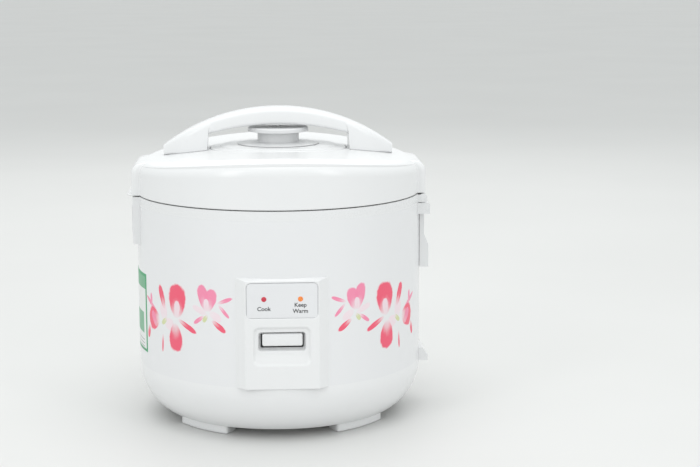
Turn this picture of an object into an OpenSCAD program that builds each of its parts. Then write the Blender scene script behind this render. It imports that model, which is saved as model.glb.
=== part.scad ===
// Jar rice cooker: a round body with a hinged lid, a lift-out pot on a heater plate,
// and a one-lever cook switch with a magnetic limiter.
// Millimetres. The feet stand on z = 0, the control panel faces -Y, the lid's hinge
// is at +X and its latch is at -X.

/* [Body] */
// Outside diameter of the body
body_d = 240; // [215:1:300]
// Height of the feet under the base ring
foot_h = 8; // [6:0.5:14]
// Height of the base ring, from its bottom edge to the shell
base_h = 38.8; // [37:0.1:47]
// Radius of the base ring's rounded side
base_round = 44; // [40:0.5:45]
// Height of the printed shell
shell_h = 134.5; // [112:0.5:170]
// Thickness of the painted steel shell
shell_t = 0.6; // [0.4:0.1:1]
// Height of the collar between the shell and the lid
collar_h = 7.6; // [7:0.1:12]
// Wall of the moulded plastic parts
wall = 2.4; // [1.8:0.1:3]
// How far the fittings on the left and right stand out
side_reach = 6.3; // [5.6:0.1:9]
// Half width of the hinge and latch blocks
block_half = 31.6; // [28:0.1:36]

/* [Feet and base plate] */
// Angle each foot covers
foot_angle = 30; // [20:1:40]
// Angle of a foot's middle from the front or back
foot_at = 43; // [36:1:50]
// Radial depth of a foot
foot_depth = 13; // [11:0.5:18]
// Thickness of the base plate
plate_t = 2.4; // [2:0.1:4]
// Radius of a base screw's shank
screw_r = 2; // [1.5:0.1:2.5]

/* [Lid] */
// Height of the lid at its middle
lid_h = 38.8; // [32:0.1:50]
// Radius of the arch across the lid
arch_r = 575; // [400:1:900]
// How far the lid's end blocks stand out past the body
ear_out = 2.8; // [2:0.1:4]
// Height of the lid's end blocks
ear_h = 26.2; // [20:0.1:28]
// Corner radius of the lid's end blocks
ear_round = 9; // [6:0.5:14]
// Thickness of the inner lid
inner_lid_t = 1; // [0.8:0.1:2]
// Width of the silicone seal
seal_w = 9; // [7:0.5:12]

/* [Handle] */
// Rise of the handle above the lid
handle_rise = 31.5; // [28:0.5:40]
// Radius of the handle's top
handle_r = 165; // [140:1:200]
// Half width of the handle from front to back
handle_half = 17.5; // [12:0.5:22]
// Half length of the hand opening
grip_half = 59.5; // [58.5:0.5:66]
// Half length of the handle
handle_reach = 97; // [94:0.5:100]
// Radius of the hand opening's roof
roof_r = 220; // [180:1:300]
// Thickness of the handle at its middle
grip_t = 13; // [10:0.5:14]

/* [Steam vent] */
// Radius of the vent's base flange
vent_flange_r = 34.5; // [30:0.5:38]
// Radius of the vent's neck
vent_neck_r = 17.5; // [14:0.5:20]
// Radius of the vent's cap
vent_cap_r = 25.5; // [22:0.5:28]
// Height of the vent above the lid
vent_h = 15; // [12:0.5:16]
// Radius of the round insert around the vent
insert_r = 58; // [50:0.5:58]

/* [Pot and heater] */
// Gap between the pot and the outside of the body
jacket = 25; // [25:0.5:32]
// Gap between the pot and the inner case
case_gap = 4; // [3:0.5:6]
// Thickness of the inner case
case_t = 0.8; // [0.5:0.1:1.2]
// Height of the inner case's floor above the shell seam
case_lift = 13.2; // [12:0.1:18]
// Thickness of the pot
pot_t = 1.5; // [1:0.1:2.5]
// Radius between the pot's wall and its bottom
pot_round = 18; // [12:1:26]
// Height of the heater plate on its legs
heater_h = 16; // [15:0.5:20]
// Radius of the heater plate
heater_r = 76; // [66:1:78]
// Radius of the heating element's ring
element_r = 58; // [48:1:60]
// Radius of the heating element's tube
element_tube_r = 3.6; // [3:0.1:4]
// Radius of the sensor cap
sensor_r = 18; // [17:0.5:20]

/* [Control panel] */
// Half width of the panel's face
panel_half = 29.2; // [28:0.1:34]
// Width of the bevel along each side of the panel
panel_bevel = 8; // [6:0.1:10]
// How far the panel's face stands in front of the shell
panel_proud = 1.5; // [1.3:0.1:3]
// Height of the panel
panel_h = 90.9; // [88:0.1:96]
// Height of the indicator window
window_h = 28.8; // [24:0.1:32]
// Half width of the indicator window
window_half = 28.2; // [27.6:0.1:28.4]
// Distance between the two indicator lights
lamp_pitch = 28.8; // [20:0.1:34]
// Radius of an indicator lens
lens_r = 2; // [1.5:0.1:3]

/* [Switch lever] */
// Half width of the recess around the lever
recess_half = 22; // [20:0.5:24]
// Height of the recess
recess_h = 32.1; // [30:0.1:36]
// Half width of the lever's slot
slot_half = 17.75; // [17:0.05:19]
// Height of the slot
slot_h = 14.2; // [13:0.1:16]
// Height of the lever's paddle
paddle_h = 10; // [8:0.1:10.4]
// Distance from the lever's pivot to the body's middle
pivot_back = 52; // [46:1:58]
// Thickness of the steel lever
lever_t = 2; // [1.5:0.1:2.5]
// Width of the steel lever
lever_w = 12; // [8:0.5:16]

/* [Latch] */
// Height of the latch button
button_h = 27.8; // [24:0.1:32]
// Half width of the latch button
button_half = 22; // [18:0.5:25]
// Height of the button's pivot above the button's bottom
button_pivot = 14.8; // [12:0.1:18]

/* [Dew collector] */
// Height of the dew collector
dew_h = 46.9; // [40:0.1:56]
// Half width of the dew collector
dew_half = 20; // [17:0.5:26]
// Height of the collector's cup
cup_h = 18.8; // [15:0.1:24]
// Wall of the dew collector
dew_t = 1.2; // [1:0.1:1.6]

/* [Power inlet] */
// Half width of the inlet socket
inlet_half = 15; // [13:0.5:17]
// Height of the inlet socket
inlet_h = 22; // [18:0.5:24]
// Half width of the hood above the socket
hood_half = 20; // [17:0.5:24]

/* [Label] */
// Height of the label on the side
label_h = 66; // [40:1:76]
// Angle that the label covers
label_angle = 25; // [15:1:32]

/* [Clearances] */
// Gap between the collar and the lid
lid_gap = 0.8; // [0.6:0.1:1.2]
// Radial play of a pin in its bore
pin_play = 0.05; // [0.02:0.01:0.08]
// Gap between parts that slide or swing past each other
move_gap = 0.4; // [0.35:0.05:0.5]
// Gap around parts that are set into each other
set_gap = 0.15; // [0.05:0.05:0.3]

/* [Hidden] */
$fn = 180;
// sides of the wide shallow arches
arch_fn = 720;
eps = 0.01;
past = 1;
body_r = body_d / 2;
flange_z = foot_h;
seam_z = foot_h + base_h;
collar_z = seam_z + shell_h;
deck_z = collar_z + collar_h;
lid_z = deck_z + lid_gap;
lid_top = lid_z + lid_h;
arch_z = lid_top - arch_r;
shell_in = body_r - shell_t;
ear_x = body_r + ear_out;
reach_x = body_r + side_reach;
pin_r = 1.5;
bore_r = pin_r + pin_play;

// base plate, feet and their screws
plate_r = body_r - base_round + sqrt(pow(base_round - wall, 2) - pow(base_round - foot_h, 2));
foot_r = plate_r - 1.6;
post_at = foot_r - foot_depth / 2;
post_r = screw_r + 2.5;
post_h = 18;
plate_top = flange_z + plate_t;
head_r = screw_r + 1.6;
head_z = 4.4;
foot_mid = [270 - foot_at, 270 + foot_at, 90 - foot_at, 90 + foot_at];
register_r = shell_in - set_gap;
register_t = 2.6;
register_h = 3.4;

// pot, inner case and heater
pot_r = body_r - jacket;
case_in = pot_r + case_gap;
case_r = case_in + case_t;
case_z = seam_z + case_lift;
pot_z = case_z + heater_h;
mouth_r = pot_r + 1.5;
rim_r = pot_r + 6;
rim_t = 1.5;
ledge_z = deck_z - 4.4;
ledge_t = 2.5;
ledge_r = rim_r + 2;
rim_z = ledge_z + rim_t;
leg_h = 4.4;
heater_t = 6;
heater_low = pot_z - heater_t;
element_z = heater_low - 4;
heater_hole = sensor_r + 2;
cap_z = pot_z - 0.3;
cap_t = 1.2;
cap_h = 9.8;
flange_h = 1.5;
guide_in = 10.5;
guide_r = 12.5;
guide_z = case_z - 4;
case_hole = guide_r + 6;
rod_r = 2.5;
magnet_r = guide_in - 1.5;
coil_r = (guide_r + sensor_r - 1.5) / 2;
coil_wire = 0.8;

// lever
pivot_z = case_z - 8;
strip_top = pivot_z - 1.5;
strip_low = strip_top - lever_t;
barrel_r = 3.4;
cheek_gap = 1;
cheek_t = 2;
upright_y = -(body_r - 13);
face_y = -(body_r + panel_proud);
slot_z = seam_z + 31;
paddle_top = slot_z + slot_h - 0.8;
paddle_z = paddle_top - paddle_h;
paddle_front = face_y + 2.2;
paddle_half = slot_half - 1.75;
tongue_z = paddle_z + 3;
switch_y = -(pivot_back + 33);
switch_z = strip_low - 15;

// panel
recess_z = seam_z + 18.4;
recess_deep = 2;
window_z = recess_z + recess_h + 6.5;
window_deep = 1.6;
window_t = 1.3;
window_round = 4;
panel_back = face_y + 5;
back_half = panel_half - 3;
lamp_z = window_z + window_h * 0.55;
lens_back = panel_back + 1;
board_y = lens_back + 2.8;

// lid fittings
tray_z = lid_z + 0.5;
tray_t = 2;
tray_r = body_r - wall - set_gap;
seal_z = rim_z + 0.3;
inner_lid_r = rim_r - seal_w;
inner_lid_z = seal_z + 0.9;
tube_r = 11;
tube_in = 9;
insert_z = lid_top + 0.8;
vent_z = insert_z + 1.2;
vent_top = lid_top + vent_h;
vent_cap_h = 3.5;
handle_top = lid_top + handle_rise;
handle_low = handle_top - grip_t;
handle_screw_x = grip_half + 18.5;
handle_bite = 5;

// hinge
hinge_x = body_r + 0.3;
knuckle_r = 3.7;
hinge_z = collar_z + knuckle_r + move_gap;
knuckle_mid = 19.4;
spring_half = 8;
cover_h = 9.3;

// latch
button_top = collar_z - move_gap;
button_z = button_top - button_h;
latch_x = body_r - 3.2;
latch_z = button_z + button_pivot;
hook_half = 8;
hook_x = latch_x - 5.2;
hook_t = 2.4;
hook_top = lid_z + 3.5;
nose_t = 2;
nose_x = hook_x - 2.1;
catch_x = nose_x - 0.3;
frame_out = 1.8;

// dew collector
dew_top = collar_z - cover_h - move_gap;
dew_z = dew_top - dew_h;
dew_back = body_r + 0.3;
cup_top = dew_z + cup_h;
plate_out = body_r + 2.5;
tab_y = 10;
tab_w = 4;
tab_h = 3;

// inlet
inlet_z = flange_z + 12;
inlet_face = body_r - base_round + sqrt(pow(base_round, 2) - pow(base_round - inlet_z, 2)) - 0.5;
inlet_deep = 20;
inlet_t = 2.2;
blade_pitch = 7;
hood_z = seam_z - 3.8;
hood_h = 11;

// ---- shapes used by several parts ----

// upright ring between two heights
module ring(r_out, r_in, z0, z1) {
    translate([0, 0, z0])
        difference() {
            cylinder(r = r_out, h = z1 - z0);
            translate([0, 0, -past])
                cylinder(r = r_in, h = z1 - z0 + 2 * past);
        }
}

// upright disc between two heights
module disc(r, z0, z1) {
    translate([0, 0, z0])
        cylinder(r = r, h = z1 - z0);
}

// box between two corners
module block(low, high) {
    translate(low)
        cube(high - low);
}

// round bar along Y
module bar_y(r, x, z, y0, y1) {
    translate([x, y1, z])
        rotate([90, 0, 0])
            cylinder(r = r, h = y1 - y0);
}

// round bar along X
module bar_x(r, y, z, x0, x1) {
    translate([x0, y, z])
        rotate([0, 90, 0])
            cylinder(r = r, h = x1 - x0);
}

// outline in X and Z, extruded along Y to both sides of the middle
module slab_y(half) {
    translate([0, half, 0])
        rotate([90, 0, 0])
            linear_extrude(2 * half)
                children();
}

// the straight side of the body, as a solid to cut with
module body_column(r) {
    disc(r, -past, handle_top);
}

function unit(v) = v / norm(v);

// direction of a path at one of its points
function along(path, i) =
    unit(path[min(i + 1, len(path) - 1)] - path[max(i - 1, 0)]);

// ring of points around a path at one of its points
function ring_at(path, i, r, sides, up) =
    let (t = along(path, i), a = unit(cross(up, t)), b = cross(t, a))
    [for (k = [0 : sides - 1]) path[i] + r * (cos(360 * k / sides) * a + sin(360 * k / sides) * b)];

// round wire swept along a path that never runs parallel to up
module wire(path, r, sides, up) {
    last = len(path) - 1;
    points = [for (i = [0 : last]) each ring_at(path, i, r, sides, up)];
    skin = [for (i = [0 : last - 1]) for (k = [0 : sides - 1])
        let (p = i * sides + k, q = i * sides + (k + 1) % sides)
        each [[p, p + sides, q], [q, p + sides, q + sides]]];
    start_cap = [for (k = [0 : sides - 1]) k];
    end_cap = [for (k = [sides - 1 : -1 : 0]) last * sides + k];
    polyhedron(points = points, faces = concat(skin, [start_cap], [end_cap]));
}

// points of a coil around the Z axis
function coil(r, z0, z1, turns, steps) =
    [for (i = [0 : turns * steps])
        [r * cos(360 * i / steps), r * sin(360 * i / steps), z0 + (z1 - z0) * i / (turns * steps)]];

// ---- base ----

// section of the base ring, drawn inward from its outside by inset
module bowl_section(inset) {
    intersection() {
        translate([0, flange_z])
            square([body_r, base_h]);
        union() {
            square([body_r - base_round, seam_z]);
            translate([0, base_round])
                square([body_r - inset, base_h]);
            translate([body_r - base_round, base_round])
                circle(r = base_round - inset);
        }
    }
}

module base_ring() {
    color("whitesmoke")
        difference() {
            union() {
                rotate_extrude()
                    difference() {
                        bowl_section(0);
                        bowl_section(wall);
                    }
                ring(register_r, register_r - register_t, seam_z - 8, seam_z + register_h);
                for (a = foot_mid)
                    rotate([0, 0, a]) {
                        translate([post_at, 0, plate_top])
                            cylinder(r = post_r, h = post_h);
                        block([post_at, -wall / 2, plate_top], [plate_r + 5, wall / 2, plate_top + 8]);
                    }
            }
            for (a = foot_mid)
                rotate([0, 0, a])
                    translate([post_at, 0, plate_top - past])
                        cylinder(r = screw_r + pin_play, h = post_h);
            block([inlet_face - inlet_deep, -inlet_half, inlet_z],
                [body_r + past, inlet_half, inlet_z + inlet_h]);
        }
}

module bottom_plate() {
    slots = 12;
    under = flange_z + 0.4;
    color("gainsboro")
        difference() {
            union() {
                translate([0, 0, under])
                    cylinder(r = plate_r - set_gap, h = plate_top - under);
                for (a = foot_mid)
                    rotate([0, 0, a - foot_angle / 2])
                        rotate_extrude(angle = foot_angle)
                            translate([foot_r - foot_depth, 0])
                                square([foot_depth, (under + plate_top) / 2]);
            }
            for (a = foot_mid)
                rotate([0, 0, a])
                    translate([post_at, 0, 0]) {
                        translate([0, 0, -past])
                            cylinder(r = head_r + 0.6, h = head_z + past);
                        cylinder(r = screw_r + 0.2, h = plate_top + past);
                    }
            for (i = [0 : slots - 1])
                rotate([0, 0, i * 360 / slots])
                    block([30, -1.5, flange_z - past], [62, 1.5, plate_top + past]);
        }
}

module base_screws() {
    color("silver")
        for (a = foot_mid)
            rotate([0, 0, a])
                translate([post_at, 0, 0])
                    difference() {
                        union() {
                            translate([0, 0, head_z - 2.2])
                                cylinder(r = head_r, h = 2.2);
                            translate([0, 0, head_z - eps])
                                cylinder(r = screw_r, h = post_h);
                        }
                        translate([0, 0, head_z - 2.2 - past])
                            for (turn = [0, 90])
                                rotate([0, 0, turn])
                                    translate([-2, -0.4, 0])
                                        cube([4, 0.8, 1 + past]);
                    }
}

// ---- shell and frame ----

module body_shell() {
    color("white")
        difference() {
            ring(body_r, shell_in, seam_z, collar_z);
            block([-back_half - set_gap, -body_r - past, recess_z - 8],
                [back_half + set_gap, -body_r / 2, window_z + window_h - 2 + set_gap]);
            block([-body_r - past, -button_half - 0.6, button_z - 1.2],
                [-body_r / 2, button_half + 0.6, collar_z + past]);
            for (side = [-1, 1])
                block([body_r / 2, side * (tab_y + tab_w / 2) - tab_w / 2 - 0.35, dew_top - 7.35],
                    [body_r + past, side * (tab_y + tab_w / 2) + tab_w / 2 + 0.35, dew_top - 3.65]);
        }
}

// section of the ring that closes the top of the body and carries the pot
module frame_section() {
    deck_t = 2;
    polygon([
        [mouth_r, ledge_z - ledge_t],
        [mouth_r, ledge_z],
        [ledge_r, ledge_z],
        [ledge_r, deck_z],
        [body_r, deck_z],
        [body_r, collar_z],
        [register_r, collar_z],
        [register_r, collar_z - 5],
        [body_r - wall - 0.6, collar_z - 5],
        [body_r - wall - 0.6, deck_z - deck_t],
        [ledge_r + deck_t, deck_z - deck_t],
        [ledge_r + deck_t, ledge_z - ledge_t]]);
}

module upper_frame() {
    lug_y = hook_half + 0.8;
    color("whitesmoke")
        difference() {
            union() {
                rotate_extrude()
                    frame_section();
                // hinge knuckles
                for (side = [-1, 1]) {
                    y0 = min(side * knuckle_mid, side * block_half);
                    y1 = max(side * knuckle_mid, side * block_half);
                    bar_y(knuckle_r, hinge_x, hinge_z, y0 + 0.2, y1 - 0.2);
                    intersection() {
                        block([ledge_r + 4, y0 + 0.2, collar_z], [hinge_x + 1, y1 - 0.2, hinge_z]);
                        body_column(body_r + 0.2);
                    }
                }
                // lugs that hold the latch pin
                for (side = [-1, 1])
                    block([-latch_x - 2.2, min(side * lug_y, side * (lug_y + 2.4)), latch_z - 3.4],
                        [-hook_x + 1, max(side * lug_y, side * (lug_y + 2.4)), deck_z - 1]);
            }
            // room for the lid's knuckles
            block([body_r - 4.5, -knuckle_mid - 0.2, collar_z],
                [reach_x, knuckle_mid + 0.2, deck_z + past]);
            bar_y(bore_r, hinge_x, hinge_z, -block_half - past, block_half + past);
            // room for the hook
            block([-body_r + 3, -hook_half - 0.6, collar_z - 6],
                [-nose_x + 0.5, hook_half + 0.6, deck_z + past]);
            bar_y(bore_r, -latch_x, latch_z, -lug_y - 3, lug_y + 3);
        }
}

module hinge_cover() {
    color("white")
        difference() {
            slab_y(block_half)
                polygon([
                    [body_r - 8, collar_z - cover_h],
                    [reach_x, collar_z - cover_h],
                    [reach_x, collar_z - 1.2],
                    [reach_x - 1.2, collar_z],
                    [body_r - 8, collar_z]]);
            body_column(body_r);
            // drain that leads dew down to the collector
            block([body_r + 1.5, -6, collar_z - cover_h - past], [body_r + 4, 6, collar_z + past]);
        }
}

module hinge_pin() {
    color("silver")
        bar_y(pin_r, hinge_x, hinge_z, -block_half + 0.2, block_half - 0.2);
}

module hinge_spring() {
    turns = 9;
    color("gray")
        translate([hinge_x, 0, hinge_z])
            rotate([90, 0, 0])
                wire(coil(2.6, -spring_half + 1.2, spring_half - 1.2, turns, 14), 0.5, 6, [0, 0, 1]);
}

// ---- latch ----

module latch_frame() {
    color("whitesmoke")
        difference() {
            mirror([1, 0, 0])
                slab_y(block_half)
                    polygon([
                        [body_r - 8, button_z - 4],
                        [body_r + frame_out - 1, button_z - 4],
                        [body_r + frame_out, button_z - 3],
                        [body_r + frame_out, deck_z - set_gap],
                        [body_r - 8, deck_z - set_gap]]);
            body_column(body_r);
            block([-reach_x, -button_half - 0.6, button_z - 1.2],
                [0, button_half + 0.6, collar_z + past]);
        }
}

module latch_button() {
    face_x = body_r + 3;
    back_x = body_r + 0.8;
    color("white")
        difference() {
            mirror([1, 0, 0])
                union() {
                    slab_y(button_half)
                        polygon([
                            [back_x, button_z],
                            [face_x - 1.2, button_z],
                            [face_x, button_z + 7],
                            [face_x, button_top - 0.8],
                            [face_x - 0.8, button_top],
                            [back_x, button_top]]);
                    // side returns of the button
                    for (side = [-1, 1])
                        block([back_x - 2, side * (button_half - 0.75) - 0.75, button_z + 1],
                            [back_x + 0.5, side * (button_half - 0.75) + 0.75, button_top - 1]);
                    // arm and barrel on the pin
                    block([hook_x, -hook_half, latch_z - 2], [face_x - 1, 3, latch_z + 2]);
                    bar_y(3.2, latch_x, latch_z, -hook_half, 3);
                    // hook
                    block([hook_x, -hook_half, latch_z - 2], [hook_x + hook_t, hook_half, hook_top]);
                    block([nose_x, -hook_half, hook_top - nose_t], [hook_x + eps, hook_half, hook_top]);
                }
            bar_y(bore_r, -latch_x, latch_z, -hook_half - past, hook_half + past);
        }
}

module latch_pin() {
    color("silver")
        bar_y(pin_r, -latch_x, latch_z, -hook_half - 3.2, hook_half + 3.2);
}

module latch_spring() {
    color("gray")
        translate([-latch_x, 0, latch_z])
            rotate([90, 0, 0])
                wire(coil(2.1, -hook_half + 0.6, -3.9, 4, 14), 0.35, 6, [0, 0, 1]);
}

// ---- dew collector ----

module dew_collector() {
    color([0.93, 0.94, 0.95])
        union() {
            difference() {
                slab_y(dew_half)
                    polygon([
                        [body_r - 8, dew_z],
                        [reach_x, dew_z],
                        [reach_x, cup_top],
                        [plate_out, cup_top + 9.5],
                        [plate_out, dew_top],
                        [body_r - 8, dew_top]]);
                body_column(dew_back);
                // the cup
                difference() {
                    slab_y(dew_half - dew_t)
                        polygon([
                            [body_r - 8, dew_z + dew_t],
                            [reach_x - dew_t, dew_z + dew_t],
                            [reach_x - dew_t, cup_top - 0.5],
                            [plate_out - dew_t, cup_top + 9],
                            [plate_out - dew_t, dew_top + past],
                            [body_r - 8, dew_top + past]]);
                    disc(dew_back + dew_t, 0, cup_top);
                }
            }
            // tabs that plug into the shell
            for (side = [-1, 1])
                block([body_r - 4, side * (tab_y + tab_w / 2) - tab_w / 2, dew_top - 7],
                    [plate_out - dew_t / 2, side * (tab_y + tab_w / 2) + tab_w / 2, dew_top - 7 + tab_h]);
        }
}

// ---- pot, inner case and heater ----

module inner_case() {
    color("lightgray")
        difference() {
            union() {
                ring(case_r, case_in, case_z, ledge_z - ledge_t);
                disc(case_r, case_z, case_z + case_t);
                ring(ledge_r + 1, case_in, ledge_z - ledge_t - case_t, ledge_z - ledge_t);
            }
            translate([0, 0, case_z - past])
                cylinder(r = case_hole, h = 4);
            for (side = [-1, 1])
                rotate([0, 0, side * 15])
                    translate([element_r, 0, case_z - past])
                        cylinder(r = element_tube_r + 1.4, h = 4);
        }
}

// outline of the pot's body, drawn inward from its outside by inset
module pot_section(inset) {
    corner = pot_round - inset;
    union() {
        translate([0, pot_z + inset])
            square([pot_r - pot_round, ledge_z]);
        translate([pot_r - pot_round, pot_z + pot_round])
            circle(r = corner);
        translate([0, pot_z + pot_round])
            square([pot_r - inset, ledge_z]);
    }
}

module inner_pot() {
    color([0.35, 0.36, 0.38])
        rotate_extrude() {
            intersection() {
                difference() {
                    pot_section(0);
                    pot_section(pot_t);
                }
                square([pot_r, rim_z]);
            }
            translate([pot_r - eps, ledge_z])
                square([rim_r - pot_r, rim_t]);
        }
}

module heater_plate() {
    legs = 3;
    color("silver")
        difference() {
            union() {
                rotate_extrude()
                    difference() {
                        union() {
                            translate([heater_hole, heater_low])
                                square([heater_r - heater_hole, heater_t]);
                            translate([element_r - 7, element_z])
                                square([14, heater_low - element_z + eps]);
                        }
                        translate([element_r, element_z])
                            circle(r = element_tube_r + pin_play);
                    }
                for (i = [0 : legs - 1])
                    rotate([0, 0, 60 + i * 360 / legs])
                        translate([heater_r - 6, 0, case_z + case_t])
                            cylinder(r = 4, h = heater_low - case_z - case_t + eps);
            }
            // shallow channels in the top face
            for (r = [30, 42])
                ring(r + 1, r, pot_z - 0.6, pot_z + past);
        }
}

module heating_element() {
    gap_angle = 30;
    color("dimgray")
        union() {
            rotate([0, 0, gap_angle / 2])
                translate([0, 0, element_z])
                    rotate_extrude(angle = 360 - gap_angle)
                        translate([element_r, 0])
                            circle(r = element_tube_r);
            for (side = [-1, 1])
                rotate([0, 0, side * gap_angle / 2])
                    translate([element_r, 0, 0]) {
                        disc(element_tube_r, case_z - 6, element_z);
                        disc(1.2, case_z - 10, case_z - 6 + eps);
                    }
        }
}

module side_heater() {
    band_h = 16;
    color("burlywood")
        ring(case_r + 1.4, case_r + pin_play, ledge_z - 36 - band_h, ledge_z - 36);
}

module limiter_housing() {
    color("gray")
        difference() {
            union() {
                disc(guide_r, guide_z, case_z + 10);
                disc(case_hole + 4, case_z + case_t, case_z + case_t + flange_h);
            }
            translate([0, 0, guide_z + 1.5])
                cylinder(r = guide_in, h = 40);
            translate([0, 0, guide_z - past])
                cylinder(r = rod_r + pin_play, h = 4);
        }
}

module sensor_cap() {
    color("silver")
        rotate_extrude()
            polygon([
                [0, cap_z],
                [sensor_r - 0.8, cap_z],
                [sensor_r, cap_z - 0.8],
                [sensor_r, cap_z - cap_h],
                [sensor_r - 1.5, cap_z - cap_h],
                [sensor_r - 1.5, cap_z - cap_t],
                [0, cap_z - cap_t]]);
}

module sensor_spring() {
    low = case_z + case_t + flange_h + coil_wire;
    color("gray")
        wire(coil(coil_r, low, cap_z - cap_t - coil_wire - 0.05, 4, 20), coil_wire, 6, [0, 0, 1]);
}

module limiter_magnet() {
    color("dimgray")
        union() {
            disc(rod_r, strip_top + 0.5, case_z + 4 + eps);
            disc(magnet_r, case_z + 4, case_z + 9);
        }
}

module keep_warm_thermostat() {
    color("tan")
        translate([38, 34, 0]) {
            disc(8, case_z - 7, case_z - 1);
            disc(9.5, case_z - 1 - eps, case_z);
            for (side = [-1, 1])
                block([-1, side * 4.5 - 0.4, case_z - 13], [1, side * 4.5 + 0.4, case_z - 7 + eps]);
        }
}

module thermal_fuse() {
    color("white")
        translate([-44, 0, 0]) {
            bar_y(2.6, 0, case_z - 3.4, -18, 18);
            bar_y(1.1, 0, case_z - 3.4, -24, 24);
            for (side = [-1, 1])
                block([-3.6, side * 10 - 2.5, case_z - 6.5], [3.6, side * 10 + 2.5, case_z]);
        }
}

// ---- cook switch ----

module cook_lever() {
    half = lever_w / 2;
    color("lightgray")
        difference() {
            union() {
                block([-half, upright_y, strip_low], [half, 6, strip_top]);
                block([-half, upright_y, strip_low], [half, upright_y + lever_t, tongue_z + 4]);
                block([-half, upright_y - 4, tongue_z], [half, upright_y + eps, tongue_z + 4]);
                bar_x(barrel_r, -pivot_back, pivot_z, -half, half);
            }
            bar_x(bore_r, -pivot_back, pivot_z, -half - past, half + past);
        }
}

module cook_paddle() {
    nose = 1.6;
    color("whitesmoke")
        difference() {
            translate([-paddle_half, 0, 0])
                rotate([90, 0, 90])
                    linear_extrude(2 * paddle_half)
                        polygon([
                            [upright_y - eps - 0.2, paddle_z],
                            [paddle_front + nose, paddle_z],
                            [paddle_front, paddle_z + nose],
                            [paddle_front, paddle_top - nose],
                            [paddle_front + nose, paddle_top],
                            [upright_y - eps - 0.2, paddle_top]]);
            // pocket that takes the lever's tongue
            block([-lever_w / 2, upright_y - 4, tongue_z], [lever_w / 2, upright_y + past, tongue_z + 4]);
        }
}

module lever_bracket() {
    inner = lever_w / 2 + cheek_gap;
    color("silver")
        difference() {
            union() {
                for (side = [-1, 1])
                    block([side * (inner + cheek_t / 2) - cheek_t / 2, -pivot_back - 6, pivot_z - 4],
                        [side * (inner + cheek_t / 2) + cheek_t / 2, -pivot_back + 6, case_z]);
                block([-inner - cheek_t, -pivot_back - 6, case_z - 1.5],
                    [inner + cheek_t, -pivot_back + 6, case_z]);
            }
            bar_x(bore_r, -pivot_back, pivot_z, -inner - cheek_t - past, inner + cheek_t + past);
        }
}

module lever_pin() {
    reach = lever_w / 2 + cheek_gap + cheek_t + 0.6;
    color("silver")
        bar_x(pin_r, -pivot_back, pivot_z, -reach, reach);
}

module microswitch() {
    color([0.15, 0.15, 0.16])
        union() {
            block([-13, switch_y - 3.5, switch_z], [13, switch_y + 3.5, switch_z + 10]);
            translate([0, switch_y, switch_z + 10 - eps])
                cylinder(r = 1.5, h = 2.6);
            for (x = [-7, 0, 7])
                block([x - 0.4, switch_y - 1.6, switch_z - 5], [x + 0.4, switch_y + 1.6, switch_z + eps]);
        }
}

module switch_post() {
    color("gainsboro")
        difference() {
            block([-13, switch_y - 6, plate_top], [13, switch_y + 6, switch_z]);
            block([-10.5, switch_y - 3.5, plate_top + 2], [10.5, switch_y + 7, switch_z + past]);
        }
}

// points on the internal leads, from the inlet to the element and to the switch
lead_start_x = inlet_face - inlet_deep - 4;
lead_z = inlet_z + inlet_h / 2;
lead_a = [
    [lead_start_x, -blade_pitch, lead_z],
    [lead_start_x - 8, -blade_pitch - 1, lead_z + 1],
    [element_r + 9, -13, lead_z + 4],
    [element_r + 1, -element_r * sin(15), lead_z + 9],
    [element_r * cos(15), -element_r * sin(15), case_z - 14],
    [element_r * cos(15), -element_r * sin(15), case_z - 10]];
lead_b = [
    [lead_start_x, blade_pitch, lead_z],
    [lead_start_x - 8, blade_pitch + 1, lead_z - 1],
    [element_r + 8, 8, lead_z - 6],
    [40, -14, 24],
    [18, -54, 22],
    [9, switch_y + 14, 22],
    [7, switch_y + 2, switch_z - 12],
    [7, switch_y, switch_z - 8.5],
    [7, switch_y, switch_z - 5.05]];

module lead_wires() {
    color("gold") {
        wire(lead_a, 1.1, 8, [0, 1, 0.3]);
        wire(lead_b, 1.1, 8, [0.3, 0.2, 1]);
    }
}

// ---- control panel ----

module control_panel() {
    side_y = 0.3 - sqrt(pow(body_r, 2) - pow(panel_half + panel_bevel, 2));
    color("white")
        difference() {
            union() {
                difference() {
                    translate([0, 0, seam_z])
                        linear_extrude(panel_h)
                            polygon([
                                [-panel_half - panel_bevel, side_y],
                                [-panel_half, face_y],
                                [panel_half, face_y],
                                [panel_half + panel_bevel, side_y]]);
                    body_column(body_r);
                }
                block([-back_half, face_y + 0.5, recess_z - 7.9],
                    [back_half, panel_back, window_z + window_h - 2]);
                for (side = [-1, 1])
                    block([side * (back_half - 3) - 1.5, panel_back - eps, window_z + 10],
                        [side * (back_half - 3) + 1.5, board_y, window_z + 16]);
            }
            // bevel along the top
            translate([-panel_half - panel_bevel - past, 0, 0])
                rotate([90, 0, 90])
                    linear_extrude(2 * (panel_half + panel_bevel + past))
                        polygon([
                            [face_y - past, window_z + window_h],
                            [face_y, window_z + window_h],
                            [-body_r, seam_z + panel_h],
                            [-body_r, seam_z + panel_h + past],
                            [face_y - past, seam_z + panel_h + past]]);
            window_pocket(window_half, window_h, window_deep);
            block([-recess_half, face_y - past, recess_z],
                [recess_half, face_y + recess_deep, recess_z + recess_h]);
            block([-slot_half, face_y - past, slot_z], [slot_half, panel_back + past, slot_z + slot_h]);
            for (side = [-1, 1])
                lens_hole(side * lamp_pitch / 2, lens_r + pin_play);
        }
}

// rounded window shape, cut from the panel's face to a depth
module window_pocket(half, height, deep) {
    round = window_round;
    translate([0, face_y + deep, 0])
        rotate([90, 0, 0])
            linear_extrude(deep + past)
                translate([0, window_z]) {
                    translate([-half, 0])
                        square([2 * half, height - round]);
                    translate([-half + round, 0])
                        square([2 * (half - round), height]);
                    for (side = [-1, 1])
                        translate([side * (half - round), height - round])
                            circle(r = round);
                }
}

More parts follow.
